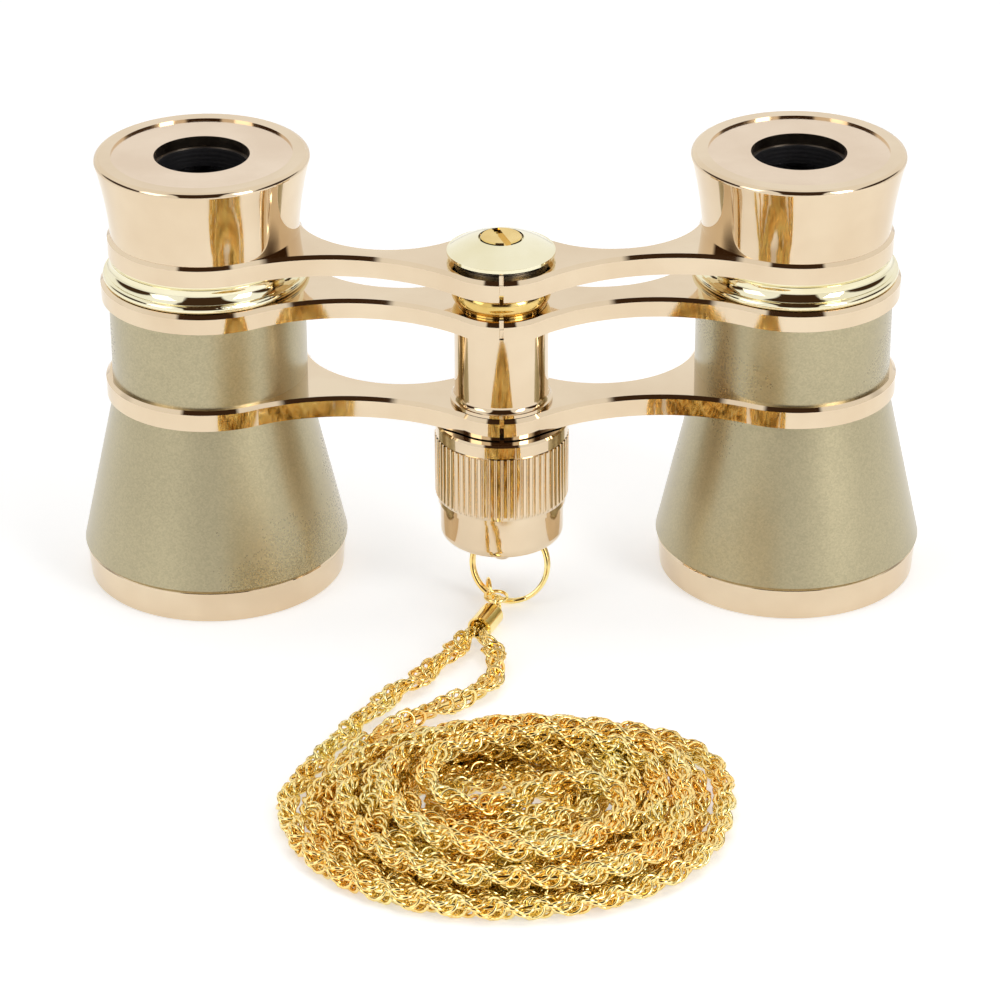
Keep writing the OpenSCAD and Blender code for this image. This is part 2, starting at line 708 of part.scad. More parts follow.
// Knob with a smooth top band, a ribbed grip that tapers at its foot, and a hollow lower end
module focus_knob() {
    rib_top = z_knob_top - knob_top_h;
    rib_foot = rib_top - rib_band_h;
    taper_h = 1.3;
    groove_w = 0.22;
    band_r = knob_r - 0.1;
    top_edge = 0.25;
    edge = 1.3;
    color("#e3b58c") on_hinge(0) difference() {
        union() {
            rotate_extrude() union() {
                translate([0, rib_top + groove_w]) square([band_r, knob_top_h - groove_w - top_edge]);
                polygon([
                    [0, z_knob_top - 2 * top_edge], [band_r, z_knob_top - top_edge],
                    [band_r - top_edge, z_knob_top], [0, z_knob_top]
                ]);
                translate([0, rib_foot]) square([knob_r - rib_depth - 0.1, rib_band_h + groove_w + 0.1]);
                translate([0, z_knob + edge]) square([knob_end_r, rib_foot - z_knob - edge + 0.1]);
                translate([knob_end_r - edge, z_knob + edge]) circle(r = edge, $fn = 64);
                translate([0, z_knob]) square([knob_end_r - edge, edge + 0.1]);
            }
            intersection() {
                translate([0, 0, rib_foot]) linear_extrude(rib_band_h) rib_outline();
                translate([0, 0, rib_foot]) union() {
                    cylinder(h = taper_h, r1 = knob_end_r - 0.02, r2 = knob_r);
                    translate([0, 0, taper_h]) cylinder(h = rib_band_h - taper_h, r = knob_r);
                }
            }
        }
        translate([0, 0, z_knob_seat]) cylinder(h = knob_top_h, r = bearing_flange_r + 4 * running);
        translate([0, 0, z_knob - 1]) cylinder(h = knob_hollow + 1, r = knob_end_r - 1.4);
        translate([0, 0, z_knob - 1]) cylinder(h = knob_h, r = eye_shank_r + running);
        translate([0, 0, z_eye_head - face_gap]) cylinder(h = knob_h, r = screw_r);
    }
}

// Straight ribs: a disc with one round groove per rib
module rib_outline() {
    groove_r = 0.26;
    difference() {
        circle(r = knob_r);
        for (i = [0 : rib_count - 1])
            rotate(i * 360 / rib_count) translate([knob_r + groove_r - rib_depth, 0])
                circle(r = groove_r, $fn = 16);
    }
}

// Eye that swivels in the knob's hollow end; its slot takes the split ring
module swivel_eye() {
    low = z_knob - eye_drop;
    round_h = 0.6;
    color("#e3b58c") on_hinge(0) rotate([0, 0, eye_turn]) difference() {
        union() {
            translate([0, 0, low + round_h]) cylinder(h = z_eye_head - low - round_h, r = eye_shank_r);
            translate([0, 0, low]) cylinder(h = round_h, r1 = eye_shank_r - 0.45, r2 = eye_shank_r);
            translate([0, 0, z_eye_head]) cylinder(h = eye_head_h, r = eye_head_r);
        }
        translate([-3, -eye_slot_w / 2, eye_z - eye_slot_h / 2]) cube([6, eye_slot_w, eye_slot_h]);
    }
}

// ---------- chain ----------

// The split ring's own frame: its middle at the origin, its axis along Y and its lowest point below
module in_split_ring() {
    on_hinge(eye_z) rotate([0, 0, eye_turn]) rotate([-ring_lean, 0, 0])
        translate([ring_shift, 0, -ring_drop]) children();
}

// Two turns of flat wire side by side
module split_ring() {
    inner = split_ring_r - split_wire;
    color("#e0c24a") in_split_ring() rotate([90, 0, 0]) rotate_extrude() difference() {
        translate([inner, -split_wire]) square([split_wire, 2 * split_wire]);
        translate([split_ring_r + 0.35, 0]) circle(r = 0.45, $fn = 24);
        translate([inner - 0.35, 0]) circle(r = 0.45, $fn = 24);
    }
}

// A round link about the Z axis
module link(mid_r) {
    rotate_extrude() translate([mid_r, 0]) circle(r = link_wire / 2, $fn = 24);
}

// Upright link round the split ring's wire
module ring_link() {
    color("#d9b43c") translate(ring_link_at) rotate([0, 90, ring_link_turn]) link(ring_link_mid_r);
}

// Flat link between the upright one and the eye of the end cap
module cap_link() {
    color("#d9b43c") translate(cap_link_at) link(cap_link_mid_r);
}

module in_end_cap() {
    translate(cap_start) rotate([0, 0, cap_turn]) rotate([0, 90, 0]) children();
}

// End cap of the chain: a cup with its mouth towards the chain and a wire eye at its closed end
module chain_end_cap() {
    floor_t = end_cap_l - mouth_d;
    color("#e0c24a") in_end_cap() {
        rotate_extrude() difference() {
            union() {
                translate([0, 0.25]) square([end_cap_r, end_cap_l - 0.25]);
                translate([0, 0]) square([end_cap_r - 0.25, 0.3]);
                translate([end_cap_r - 0.25, 0.25]) circle(r = 0.25, $fn = 24);
            }
            translate([-5, -1]) square([5, end_cap_l + 2]);
            translate([0, floor_t]) square([mouth_r, end_cap_l]);
        }
        translate([0, 0, -cap_neck_l]) cylinder(h = cap_neck_l + 0.2, r = cap_neck_r);
        translate([0, cap_eye_side, -cap_eye_z]) rotate([90, 0, 0]) link(cap_eye_mid_r);
    }
}

function unit(v) = v / norm(v);

function heading(route, i) = unit(route[min(i + 1, len(route) - 1)] - route[max(i - 1, 0)]);

// One ring of a tube's points round a point of its route
function tube_ring(route, i, r, sides) =
    let (t = i < 2 ? cap_dir / norm(cap_dir) : heading(route, i), s = unit(cross([0, 0, 1], t)))
    let (u = cross(t, s), step = 360 / sides)
    [for (k = [0 : sides - 1]) route[i] + r * (cos(k * step) * s + sin(k * step) * u)];

// A plain tube swept along a route, as thick at each point as swell says
module tube(route, r, r0, swell, sides = 8) {
    rings = len(route);
    last = len(swell) - 1;
    points = [
        for (i = [0 : rings - 1])
            each tube_ring(route, i, r0 + (r - r0) * swell[min(i, last)], sides)
    ];
    walls = [
        for (i = [0 : rings - 2], k = [0 : sides - 1])
            let (n = (k + 1) % sides)
            [i * sides + k, (i + 1) * sides + k, (i + 1) * sides + n, i * sides + n]
    ];
    start = [for (k = [0 : sides - 1]) k];
    end = [for (k = [sides - 1 : -1 : 0]) (rings - 1) * sides + k];
    polyhedron(points, concat([start, end], walls), convexity = 4);
}

module chain_strand_left() {
    color("#e6c34c") tube(left_route, chain_d / 2, strand_start_r, strand_swell);
}

module chain_strand_right() {
    color("#e6c34c") tube(right_route, chain_d / 2, strand_start_r, strand_swell);
}

// Outer shape of the heaped chain: a low oval mound with a round edge
module chain_heap() {
    color("#e6c34c") translate([heap_middle[0], heap_middle[1], 0])
        scale([1, heap_half_d / heap_half_w, 1]) rotate_extrude() polygon([
            [0, 0], [heap_half_w - 1, 0], [heap_half_w, heap_edge], [heap_half_w - 0.6, 2 * heap_edge],
            [heap_half_w - 6, heap_h - 1.4], [heap_half_w - 12, heap_h], [0, heap_h]
        ]);
}

hinge_column();
hinge_collar();
screw_bearing();
lift_key();
swivel_eye();
chain_heap();
chain_strand_left();
chain_strand_right();
left_lower_arm();
left_middle_arm();
left_barrel();
left_guide_ring();
left_housing();
left_foot_ring();
left_objective();
left_objective_retainer();
right_lower_arm();
right_middle_arm();
right_barrel();
right_guide_ring();
right_housing();
right_foot_ring();
right_objective();
right_objective_retainer();
left_upper_arm();
left_eyecup();
left_eyeplate();
left_eye_tube();
left_eye_lens();
left_eye_liner();
right_upper_arm();
right_eyecup();
right_eyeplate();
right_eye_tube();
right_eye_lens();
right_eye_liner();
lift_tube();
friction_washer();
hinge_cap();
cap_screw();
focus_knob();
focus_screw();
split_ring();
ring_link();
cap_link();
chain_end_cap();
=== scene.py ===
import math
import random

import bpy
from mathutils import Matrix, Vector


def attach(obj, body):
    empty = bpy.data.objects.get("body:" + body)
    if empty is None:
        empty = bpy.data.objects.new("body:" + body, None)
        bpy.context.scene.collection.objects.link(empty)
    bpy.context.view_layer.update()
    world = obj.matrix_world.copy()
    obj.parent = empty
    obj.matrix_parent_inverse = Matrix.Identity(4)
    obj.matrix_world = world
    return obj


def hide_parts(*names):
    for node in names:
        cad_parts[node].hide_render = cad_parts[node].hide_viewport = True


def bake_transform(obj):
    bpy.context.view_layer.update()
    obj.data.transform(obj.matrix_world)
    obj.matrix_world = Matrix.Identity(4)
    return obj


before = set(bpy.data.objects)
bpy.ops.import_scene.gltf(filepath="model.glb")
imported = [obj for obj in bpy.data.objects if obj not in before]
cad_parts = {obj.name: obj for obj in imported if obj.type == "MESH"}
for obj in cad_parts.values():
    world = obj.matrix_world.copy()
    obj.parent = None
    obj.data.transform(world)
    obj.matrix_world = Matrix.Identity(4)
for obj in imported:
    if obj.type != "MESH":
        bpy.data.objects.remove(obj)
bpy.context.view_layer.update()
mm = 0.001
print("frame loaded:", len(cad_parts), "nodes")

cameraSetup = {
    "place": (-1.8, -457.1, 246.5),  # mm, in front of the glasses and above them
    "pitch": 27.47,  # degrees down
    "yaw": -0.2,
    "roll": -0.19,
    "lens": 141.28,
    "sensor": 36.0,
}


def makeCamera(spec):
    pitch, yaw, roll = (math.radians(spec[name]) for name in ("pitch", "yaw", "roll"))
    turn = Matrix.Rotation(yaw, 3, "Z")
    ahead = turn @ Vector((0, math.cos(pitch), -math.sin(pitch)))
    right = turn @ Vector((1, 0, 0))
    up = right.cross(ahead)
    rolledRight = math.cos(roll) * right + math.sin(roll) * up
    rolledUp = math.cos(roll) * up - math.sin(roll) * right
    data = bpy.data.cameras.new("camera")
    data.lens = spec["lens"]
    data.sensor_width = spec["sensor"]
    data.clip_start = 0.01
    data.clip_end = 20
    camera = bpy.data.objects.new("camera", data)
    columns = Matrix((rolledRight, rolledUp, -ahead)).transposed()
    camera.matrix_world = Matrix.Translation(Vector(spec["place"]) * mm) @ columns.to_4x4()
    bpy.context.scene.collection.objects.link(camera)
    bpy.context.scene.camera = camera


makeCamera(cameraSetup)
bpy.context.scene.view_settings.view_transform = "Standard"
print("camera placed")

capSetup = {
    "start": Vector((-1.3, -17.5, 1.6)),  # closed end of the chain's end cap, on its axis
    "along": Vector((-0.38, -0.925, 0)).normalized(),
    "length": 4.4,
    "mouthDepth": 2.0,
    "strandApart": 0.635,  # the two strands lie this far from the axis in the mouth
    "past": 0.4,  # the route starts this far past the mouth's bottom and comes out this far past the mouth
}

chainSetup = {
    "thick": 2.9,
    "middle": Vector((0.3, -65.2, 0)),  # of the heap
    "halfAcross": (25.1, 20.4),  # of the outermost turn
    "drawIn": (1.05, 0.825),  # how fast the turns get smaller along X and Y
    "corners": (0.13, 36.0, 26.0),  # the back bulges by this share, at this angle and over this many degrees
    "cornersEnd": 22.0,  # turns drawn in this far don't bulge any more
    "rowStep": 2.65,  # from one strand to the next
    "joinAngle": 168.0,
    "angleStep": 12.0,  # degrees from place to place in the winding
    "joinGap": 4.0,  # degrees from where the strands join the winding to its first place
    "endGap": 6.0,  # degrees that stay free before the loop's end
    "stepShare": (0.3, 0.45, 0.95),  # share of each turn on the table in which the pair draws in
    "stages": [  # turns, then at their end: how far in the outer strand lies, its height, shift and sway
        (2.8, 12.9, 1.5, Vector((-2.3, -0.75, 0)), 0.25),
        (0.55, 13.0, 4.1, Vector((-0.4, 1.4, 0)), 0.3),
        (2.05, 4.0, 4.2, Vector((0.6, -2.0, 0)), 0.4),
        (0.5, 8.2, 6.6, Vector((3.0, -3.1, 0)), 0.36),
        (0.58, 9.6, 6.6, Vector((0.6, -3.6, 0)), 0.36),
    ],
    "swaySeed": 4,
    "swayRates": (1.31, 2.17, 3.29, 4.53),  # waves in a turn, none of them whole
    "swayOver": 2.2,
    "liftRate": 1.3,
    "liftOver": 3.0,
    "liftShare": 0.7,
    "foldSteps": 7,  # in each half circle of the loop's end
    "foldDrop": 0.8,  # the loop's end sinks into the hollow of the heap
}

easeSetup = {
    "rounds": 70,
    "step": 1.0,
    "apart": 6,  # steps between the three places that a bend is measured by
    "leastRadius": 6.8,  # where the bend is tighter, the rope eases
    "fixed": 8,  # steps at both ends that never move
    "most": 0.5,
    "keepEach": 3,
}

leftStart = [
    (-4.6, -24.2, 1.7), (-6.1, -26.6, 1.6), (-9.6, -32.4, 1.5), (-13.7, -37.8, 1.5), (-17.2, -43.4, 1.5),
    (-20.1, -49.0, 1.5), (-22.6, -54.3, 1.5),
]
rightStart = [
    (-2.2, -24.6, 1.7), (-1.2, -27.0, 1.6), (-0.8, -30.0, 1.5), (-1.2, -33.7, 1.5), (-3.1, -36.9, 1.5),
    (-6.1, -39.7, 1.5), (-10.6, -43.2, 1.6), (-15.2, -47.6, 1.6), (-18.8, -53.4, 1.5),
]


def smooth(t):
    t = min(max(t, 0.0), 1.0)
    return t * t * (3 - 2 * t)


def grown(share, least):
    # from least, where share is 0, to whole, where it is 1
    return least + (1 - least) * share


def evenly(points, step, parts=12):
    # a smooth curve through the points, walked in equal steps
    dense = []
    for i in range(len(points) - 1):
        before = points[max(i - 1, 0)]
        after = points[min(i + 2, len(points) - 1)]
        a, b = points[i], points[i + 1]
        for k in range(parts):
            t = k / parts
            dense.append(
                0.5 * ((2 * a) + (b - before) * t + (2 * before - 5 * a + 4 * b - after) * t * t
                       + (3 * a - before - 3 * b + after) * t ** 3)
            )
    dense.append(points[-1])
    walked = [dense[0]]
    left = step
    for a, b in zip(dense, dense[1:]):
        span = (b - a).length
        at = 0.0
        while span - at >= left:
            at += left
            walked.append(a.lerp(b, at / span))
            left = step
        left -= span - at
    return walked


def coilPlace(angle, drawn, height, shift):
    spec = chainSetup
    a = math.radians(angle)
    share, at, width = spec["corners"]
    bulge = 1.0
    for corner in (at, 180 - at):
        apart = (angle - corner + 180) % 360 - 180
        bulge += share * math.exp(-((apart / width) ** 2)) * max(0.0, 1 - drawn / spec["cornersEnd"])
    x = (spec["halfAcross"][0] - spec["drawIn"][0] * drawn) * math.cos(a) * bulge
    y = (spec["halfAcross"][1] - spec["drawIn"][1] * drawn) * math.sin(a) * bulge
    return spec["middle"] + shift + Vector((x, y, height))


def drawnIn(turns):
    whole = min(math.floor(turns), len(chainSetup["stepShare"]) - 1)
    share = chainSetup["stepShare"][whole]
    return whole + smooth((turns - whole - 1 + share) / share)


def pairState(angle):
    # at this angle of the winding: how far in the outer of the two strands lies, its height, shift and sway
    spec = chainSetup
    turns = (angle - spec["joinAngle"]) / 360
    was = (0.0, spec["stages"][0][2], Vector((0, 0, 0)), 0.0)
    for k, (span, drawn, height, shift, sway) in enumerate(spec["stages"]):
        if turns <= span or k == len(spec["stages"]) - 1:
            t = turns / span
            way = was[0] + (drawn - was[0]) * t
            if k == 0:
                way = min(2 * spec["rowStep"] * drawnIn(turns), drawn)
            t = smooth(t)
            height, shift = was[1] + (height - was[1]) * t, was[2] + (shift - was[2]) * t
            return way, height, shift, was[3] + (sway - was[3]) * t
        turns -= span
        was = (drawn, height, shift, sway)


def eased(points, spec):
    # lets the rope ease wherever three places a bend apart lie on too small a circle
    places = evenly(points, spec["step"])
    apart = spec["apart"]
    free = range(apart + spec["fixed"], len(places) - apart - spec["fixed"])
    for _ in range(spec["rounds"]):
        shares = [0.0] * len(places)
        for i in free:
            one, two = places[i] - places[i - apart], places[i + apart] - places[i]
            whole = places[i + apart] - places[i - apart]
            area = one.cross(two).length
            radius = one.length * two.length * whole.length / max(2 * area, 1e-6)
            if radius < spec["leastRadius"]:
                for k in range(-apart, apart + 1):
                    share = spec["most"] * (1 - abs(k) / (apart + 1))
                    shares[i + k] = max(shares[i + k], share)
        if not any(shares):
            break
        now = list(places)
        for i in range(2, len(now) - 2):
            if shares[i]:
                places[i] = now[i] * (1 - shares[i]) + (now[i - 1] + now[i + 1]) * (shares[i] / 2)
    return places[::spec["keepEach"]] + [places[-1]]


def chainRoute():
    spec, cap = chainSetup, capSetup
    side = Vector((cap["along"].y, -cap["along"].x, 0)) * cap["strandApart"]
    inside = cap["start"] + cap["along"] * (cap["length"] - cap["mouthDepth"] + cap["past"])
    mouth = cap["start"] + cap["along"] * (cap["length"] + cap["past"])
    outer = [inside + side, mouth + side] + [Vector(p) for p in leftStart]
    inner = [inside - side, mouth - side] + [Vector(p) for p in rightStart]
    lastAngle = spec["joinAngle"] + 360 * sum(stage[0] for stage in spec["stages"])
    chance = random.Random(spec["swaySeed"])
    waves = [(rate, chance.uniform(0, 6.3)) for rate in spec["swayRates"]]

    def wound(angle, neighbour):
        way, height, shift, sway = pairState(angle)
        a = math.radians(angle)
        off = sum(math.sin(a * rate + phase) for rate, phase in waves) / spec["swayOver"]
        rise = sum(math.cos(a * rate * spec["liftRate"] + phase) for rate, phase in waves)
        lift = abs(rise) / spec["liftOver"]
        drawn = way + neighbour * spec["rowStep"] + off * sway
        return coilPlace(angle, drawn, height + lift * sway * spec["liftShare"], shift)

    angle = spec["joinAngle"] + spec["joinGap"]
    while angle < lastAngle - spec["endGap"]:
        outer.append(wound(angle, 0))
        if angle < lastAngle - 180 - spec["endGap"]:
            inner.append(wound(angle, 1))
        angle += spec["angleStep"]
    # the end of the loop: an S through the middle, to the inner strand half a turn back
    outer.append(wound(lastAngle, 0))
    inner.append(wound(lastAngle - 180, 1))
    across = inner[-1] - outer[-1]
    radius = across.length / 4
    across.normalize()
    ahead = Vector((across.y, -across.x, 0)).normalized()
    steps = spec["foldSteps"]
    fold = []
    for i in range(1, 2 * steps):
        half = math.pi * i / steps
        away = radius * (1 - math.cos(half)) if i <= steps else radius * (3 - math.cos(half - math.pi))
        drop = spec["foldDrop"] * math.sin(math.pi * i / (2 * steps))
        fold.append(outer[-1] + ahead * (radius * math.sin(half)) + across * away - Vector((0, 0, drop)))
    return eased(outer + fold + inner[::-1], easeSetup)


def meshPiece(name, places, faces):
    data = bpy.data.meshes.new(name)
    data.from_pydata([tuple(p * mm) for p in places], [], faces)
    data.polygons.foreach_set("use_smooth", [True] * len(data.polygons))
    data.update()
    piece = bpy.data.objects.new(name, data)
    bpy.context.scene.collection.objects.link(piece)
    return piece


def section(spot, one, two, radius, sides):
    angles = [2 * math.pi * k / sides for k in range(sides)]
    return [spot + (one * math.cos(b) + two * math.sin(b)) * radius for b in angles]


def tube(places, faces, sections, closed=False, clockwise=False, endsInward=False):
    # skins sections that run anticlockwise or clockwise, seen against their way; an open tube gets flat ends
    first, sides = len(places), len(sections[0])
    for ring in sections:
        places.extend(ring)
    for i in range(len(sections) if closed else len(sections) - 1):
        low, high = first + i * sides, first + (i + 1) % len(sections) * sides
        for k in range(sides):
            m = (k + 1) % sides
            face = (low + k, low + m, high + m, high + k)
            faces.append((face[0], face[3], face[2], face[1]) if clockwise else face)
    if not closed:
        start = [first + k for k in range(sides)]
        end = [len(places) - sides + k for k in range(sides)]
        faces.append(tuple(start if endsInward else reversed(start)))
        faces.append(tuple(reversed(end) if endsInward else end))


linkSetup = {
    "step": (0.84, 0.47),  # from one link to the next, in the free strands and in the heap
    "freeLength": (28.0, 44.0),  # the step changes between these distances from the ends
    "turn": 19.3,  # degrees from link to link
    "reach": (1.2, 1.2),  # half a link's length and width
    "wire": 0.5,
    "beside": 0.32,  # links lie to one side and the other of the middle by turns
    "tilt": 16.0,
    "loose": 6.0,  # degrees by which a link may lie off its turn and its tilt
    "seed": 11,
    "rounds": 15,
    "sides": 5,
    "fine": 0.08,  # step in which the route is walked to place the links
    "look": 5,  # steps to either side that give a link's direction
    "inCap": 0.38,  # size of the links where they enter the end cap
    "growFrom": 1.6,
    "growOver": 3.6,
    "leastLength": 0.55,  # a link of no size would still have this share of its length
    "leastWire": 0.6,  # and this share of its wire
    "offTable": 0.02,
}

coreSetup = {  # the middle of the rope, where the links cross
    "radius": 0.62,
    "step": 0.5,
    "sides": 6,
    "inCap": 0.5,
    "uneven": 0.86,  # the core swells and shrinks round this share of its radius
    "unevenRate": 2.9,
}


def linkPlaces(walked, spec):
    # every link's place along the finely walked route, and the length of a step
    fine = (walked[1] - walked[0]).length
    apart, close = spec["step"]
    first, last = spec["freeLength"]
    picked, since = [0], 0.0
    for i in range(1, len(walked) - 1):
        since += fine
        near = min(i, len(walked) - 1 - i) * fine
        if since >= apart + (close - apart) * smooth((near - first) / (last - first)):
            picked.append(i)
            since = 0.0
    return picked, fine


def carried(line, picked, look):
    # at each picked place: the way ahead, and a side and an over that don't twist round it
    side = (line[1] - line[0]).cross(Vector((0, 0, 1))).normalized()
    for i in picked:
        ahead = (line[min(i + look, len(line) - 1)] - line[max(i - look, 0)]).normalized()
        side = (side - ahead * side.dot(ahead)).normalized()
        yield ahead, side, ahead.cross(side)


def addLink(places, faces, middle, along, across, reach, wire, spec):
    flat = along.cross(across).normalized()
    sections = []
    for i in range(spec["rounds"]):
        a = 2 * math.pi * i / spec["rounds"]
        spot = middle + along * (reach[0] * math.cos(a)) + across * (reach[1] * math.sin(a))
        outward = (along * (reach[1] * math.cos(a)) + across * (reach[0] * math.sin(a))).normalized()
        sections.append(section(spot, outward, flat, wire / 2, spec["sides"]))
    tube(places, faces, sections, closed=True, clockwise=True)


def addLinks(places, faces, route, spec):
    walked = evenly(route, spec["fine"])
    picked, fine = linkPlaces(walked, spec)
    chance = random.Random(spec["seed"])
    loose = spec["loose"]
    for i, (ahead, side, over) in enumerate(carried(walked, picked, spec["look"])):
        near = min(picked[i], len(walked) - 1 - picked[i]) * fine
        size = grown(smooth((near - spec["growFrom"]) / spec["growOver"]), spec["inCap"])
        way = 1 if i % 2 else -1
        a = math.radians(spec["turn"] * i + chance.uniform(-loose, loose))
        across = side * math.cos(a) + over * math.sin(a)
        flat = ahead.cross(across)
        lean = math.radians(spec["tilt"] * way + chance.uniform(-loose, loose))
        along = ahead * math.cos(lean) + flat * math.sin(lean)
        middle = walked[picked[i]] + flat * (spec["beside"] * size * way)
        reach = (spec["reach"][0] * grown(size, spec["leastLength"]), spec["reach"][1] * size)
        wire = spec["wire"] * grown(size, spec["leastWire"])
        addLink(places, faces, middle, along, across, reach, wire, spec)
    return len(picked)


def addCore(places, faces, route, spec, links):
    line = evenly(route, spec["step"])
    sections = []
    for i, (ahead, side, over) in enumerate(carried(line, range(len(line)), 1)):
        near = min(i, len(line) - 1 - i) * spec["step"]
        size = grown(smooth((near - links["growFrom"]) / links["growOver"]), spec["inCap"])
        size *= spec["radius"] * grown(math.sin(spec["unevenRate"] * i), spec["uneven"])
        sections.append(section(line[i], side, over, size, spec["sides"]))
    tube(places, faces, sections)


def makeChain(route):
    places, faces = [], []
    links = addLinks(places, faces, route, linkSetup)
    addCore(places, faces, route, coreSetup, linkSetup)
    if min(p.z for p in places) < 0:  # no link goes into the table
        for p in places:
            p.z = max(p.z, linkSetup["offTable"])
    piece = meshPiece("rope_chain", places, faces)
    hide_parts("chain_heap", "chain_strand_left", "chain_strand_right")
    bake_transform(piece)
    line = evenly(route, 2.0)
    length = sum((b - a).length for a, b in zip(line, line[1:])) * mm
    print("chain:", links, "links,", round(length, 3), "m")
    tuple(line[0] * mm)
    [tuple(p * mm) for p in line]
    return piece


chain = makeChain(chainRoute())

splitRingSetup = {
    "hangsAt": Vector((0, -9.3, 9.95)),  # middle of the swivel eye's slot
    "turn": -15,
    "lean": -16,
    "shift": 1.4,
    "outer": 5.3,
    "wire": 0.64,
    "apart": 0.3,  # each turn lies this far from the middle
    "crossAt": 300,  # degrees, where the wire steps from one turn to the other
    "crossOver": 46,
    "rounds": 260,
    "sides": 12,
    "squareness": 0.6,  # 1 is round wire
}


def makeSplitRing(spec):
    turn = Matrix.Rotation(math.radians(spec["turn"]), 3, "Z")
    turn = turn @ Matrix.Rotation(math.radians(spec["lean"]), 3, "X")
    half = spec["wire"] / 2
    middleRadius = spec["outer"] - half
    drop = math.sqrt(middleRadius ** 2 - spec["shift"] ** 2)
    middle = spec["hangsAt"] + turn @ Vector((spec["shift"], 0, -drop))
    width = turn @ Vector((0, 1, 0))
    sections = []
    for i in range(spec["rounds"] + 1):
        done = 720 * i / spec["rounds"]
        crossing = smooth((done % 720 - 360 + spec["crossOver"] / 2) / spec["crossOver"])
        beside = spec["apart"] * (2 * crossing - 1)
        a = math.radians(spec["crossAt"] + done)
        out = turn @ Vector((math.cos(a), 0, math.sin(a)))
        ring = []
        for k in range(spec["sides"]):
            b = 2 * math.pi * k / spec["sides"]
            c, s = (math.copysign(abs(v) ** spec["squareness"], v) for v in (math.cos(b), math.sin(b)))
            ring.append(middle + out * (middleRadius + c * half) + width * (beside + s * half))
        sections.append(ring)
    places, faces = [], []
    tube(places, faces, sections, endsInward=True)
    piece = meshPiece("split_ring_coil", places, faces)
    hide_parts("split_ring")
    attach(piece, "ring")
    return piece


splitRing = makeSplitRing(splitRingSetup)
print("split ring made")


class Wire:
    # a shader socket that can stand in a sum or a product
    def __init__(self, board, socket):
        self.board, self.socket = board, socket

    def __add__(self, other):
        return self.board.calc("ADD", self, other)

    def __sub__(self, other):
        return self.board.calc("SUBTRACT", self, other)

    def __rsub__(self, other):
        return self.board.calc("SUBTRACT", other, self)

    def __mul__(self, other):
        return self.board.calc("MULTIPLY", self, other)

    def __pow__(self, other):
        return self.board.calc("POWER", self, other)

    def __rpow__(self, other):
        return self.board.calc("POWER", other, self)

    __radd__ = __add__
    __rmul__ = __mul__


halfSpacing = 0.0375  # m, from the middle to either optical axis
hingeForward = 0.0093  # m, the hinge axis lies this far in front of them
bumpUnit = 0.00001  # m, height of a bump of strength 1


class Board:
    # the nodes of one material or of the world
    def __init__(self, tree):
        self.tree = tree

    def put(self, socket, value):
        if isinstance(value, Wire):
            self.tree.links.new(value.socket, socket)
        else:
            socket.default_value = value

    def node(self, kind, settings=None, values=None, out=0):
        made = self.tree.nodes.new(kind)
        for name, value in (settings or {}).items():
            setattr(made, name, value)
        for name, value in (values or {}).items():
            self.put(made.inputs[name], value)
        return Wire(self, made.outputs[out])

    def calc(self, kind, *values):
        return self.node("ShaderNodeMath", {"operation": kind}, dict(enumerate(values)))

    def blend(self, share, low, high):
        return self.node("ShaderNodeMix", {"data_type": "RGBA"}, {0: share, 6: low, 7: high}, 2)

    def between(self, value, low, high, start=0.0, end=1.0):
        return self.node("ShaderNodeMapRange", {"clamp": True}, {0: value, 1: start, 2: end, 3: low, 4: high})

    def noise(self, place, scale, detail=2.0, rough=0.5):
        values = {"Vector": place, "Scale": scale, "Detail": detail, "Roughness": rough}
        return self.node("ShaderNodeTexNoise", {}, values)

    def bump(self, height, strength, distance=bumpUnit):
        return self.node("ShaderNodeBump", {}, {"Strength": strength, "Distance": distance, "Height": height})

    def place(self):
        return self.node("ShaderNodeTexCoord", {}, {}, "Object")

    def stretched(self, place, factors):
        return self.node("ShaderNodeVectorMath", {"operation": "MULTIPLY"}, {0: place, 1: factors})

    def roundAxis(self, axis):
        # distance from the optical axes or from the hinge axis, and the height
        place = self.place()
        x, y, z = (self.node("ShaderNodeSeparateXYZ", {}, {0: place}, k) for k in range(3))
        if axis == "eye":
            across, ahead = self.calc("ABSOLUTE", x) - halfSpacing, y
        else:
            across, ahead = x, y + hingeForward
        return (across * across + ahead * ahead) ** 0.5, z

    def turned(self, axis, scale):
        # fine lines as a lathe leaves them, the same all the way round the axis
        distance, height = self.roundAxis(axis)
        lines = self.node("ShaderNodeCombineXYZ", {}, {0: distance, 1: height})
        return self.noise(lines, scale, 3.0, 0.65)


def makeMaterial(name, **constant):
    material = bpy.data.materials.new(name)
    material.use_nodes = True
    surface = material.node_tree.nodes["Principled BSDF"]
    for socket, value in constant.items():
        surface.inputs[socket.replace("_", " ")].default_value = value
    return material, Board(material.node_tree), surface


def metal(name, setup, axis=None):
    material, board, surface = makeMaterial(name, Metallic=1.0)
    place = board.place()
    film = board.noise(place, setup["filmScale"], 3.0)
    grain = board.noise(board.stretched(place, (1, 1, 0.12)), setup["grainScale"], 2.0)
    share = board.between(film, 0, 1, 0.35, 0.68)
    board.put(surface.inputs["Base Color"], board.blend(share, setup["deep"], setup["light"]))
    roughness = board.between(film, *setup["roughness"], 0.3, 0.7)
    height = grain * 0.4
    if axis:
        lines = board.turned(axis, setup["lineScale"])
        roughness = roughness + (lines - 0.5) * setup["lineRough"]
        height = height + lines * setup["lineDepth"]
    board.put(surface.inputs["Roughness"], roughness)
    board.put(surface.inputs["Normal"], board.bump(height, setup["bump"]))
    return material


